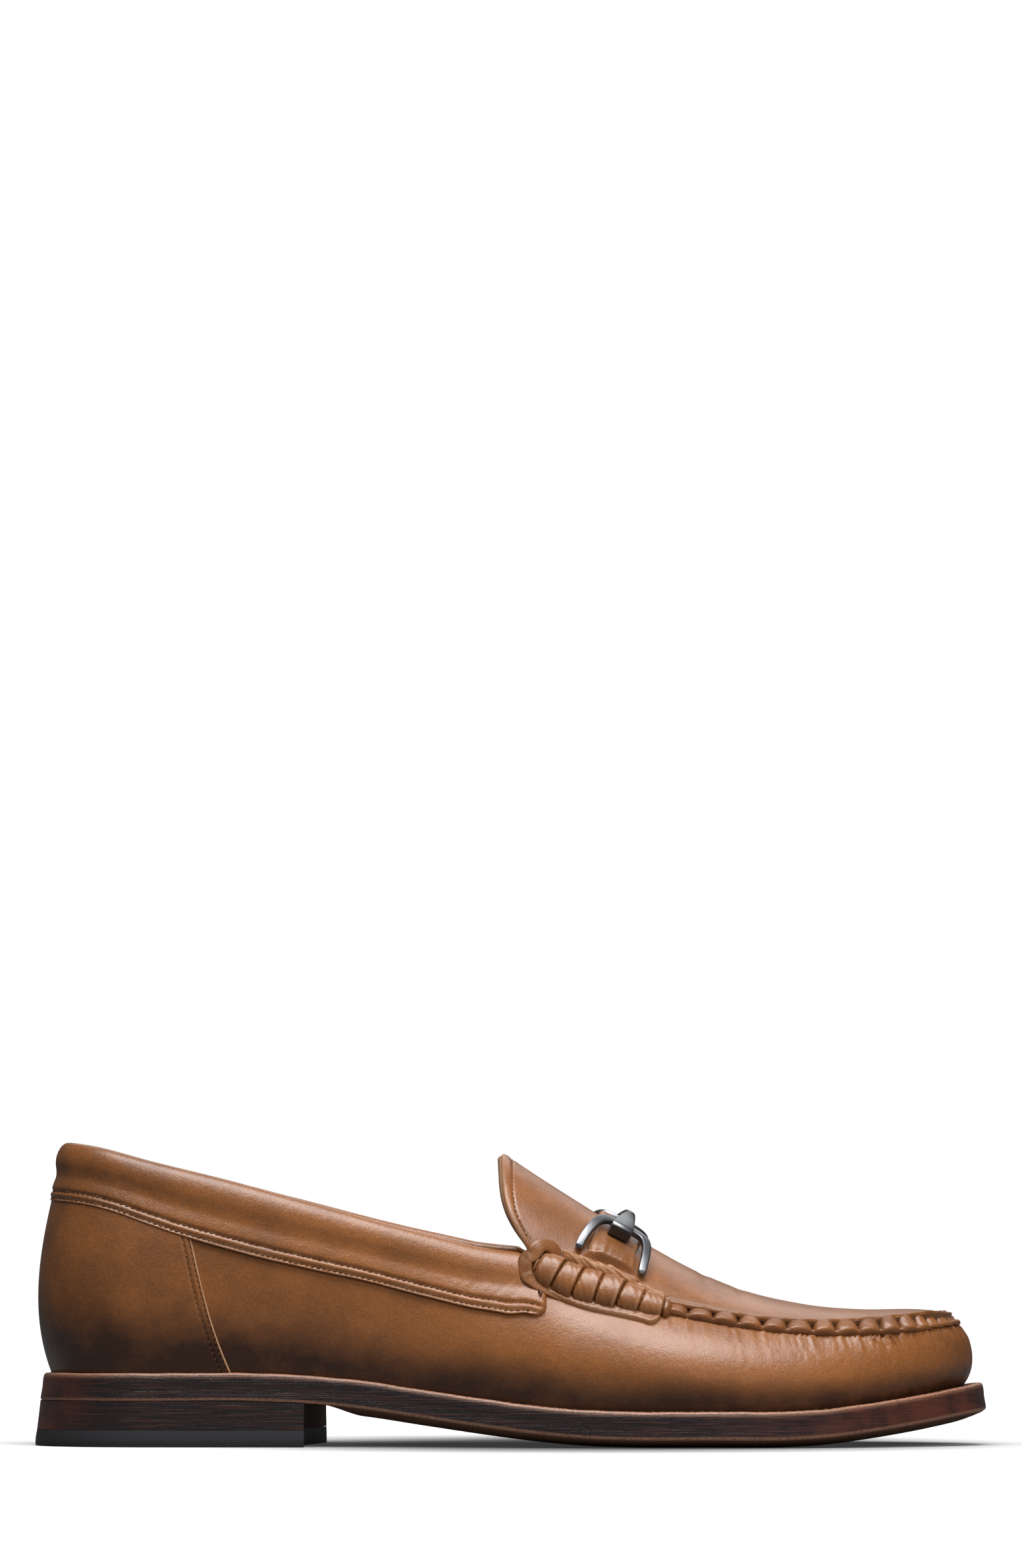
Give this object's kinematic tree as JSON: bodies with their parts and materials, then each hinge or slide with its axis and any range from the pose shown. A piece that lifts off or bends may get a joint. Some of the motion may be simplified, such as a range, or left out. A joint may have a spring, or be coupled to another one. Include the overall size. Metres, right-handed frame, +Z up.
{
  "type": "bit loafer",
  "caption": "Right moccasin-toe loafer in tan leather with a padded collar band, saddle strap, metal bit and stacked heel, open at the collar.",
  "frame": {"origin": "middle of the heel's rest face, on the floor", "axes": "+X from heel to toe, +Y towards the inner (medial) side, +Z up"},
  "size_m": [0.2979, 0.1051, 0.0949],
  "materials": {
    "sole_leather": "brown leather underside, its edge dressed near black",
    "dressed_edge": "black edge dressing with reddish wear",
    "lift_rubber": "black rubber, matte",
    "sock_leather": "smooth tan lining leather",
    "tan_calf": "burnished tan calf, satin",
    "strap_calf": "tan calf, satin, with raw folded edges",
    "bit_metal": "grey polished metal"
  },
  "bodies": {
    "root": {"outsole": "sole_leather", "welt": "dressed_edge", "heel_stack": "dressed_edge", "top_lift": "lift_rubber", "insole": "sock_leather", "upper": "tan_calf", "saddle_strap": "strap_calf", "beef_roll_outer": "strap_calf", "beef_roll_inner": "strap_calf", "bit_bar": "bit_metal", "bit_half_ring_outer": "bit_metal", "bit_half_ring_inner": "bit_metal"}
  },
  "joints": []
}
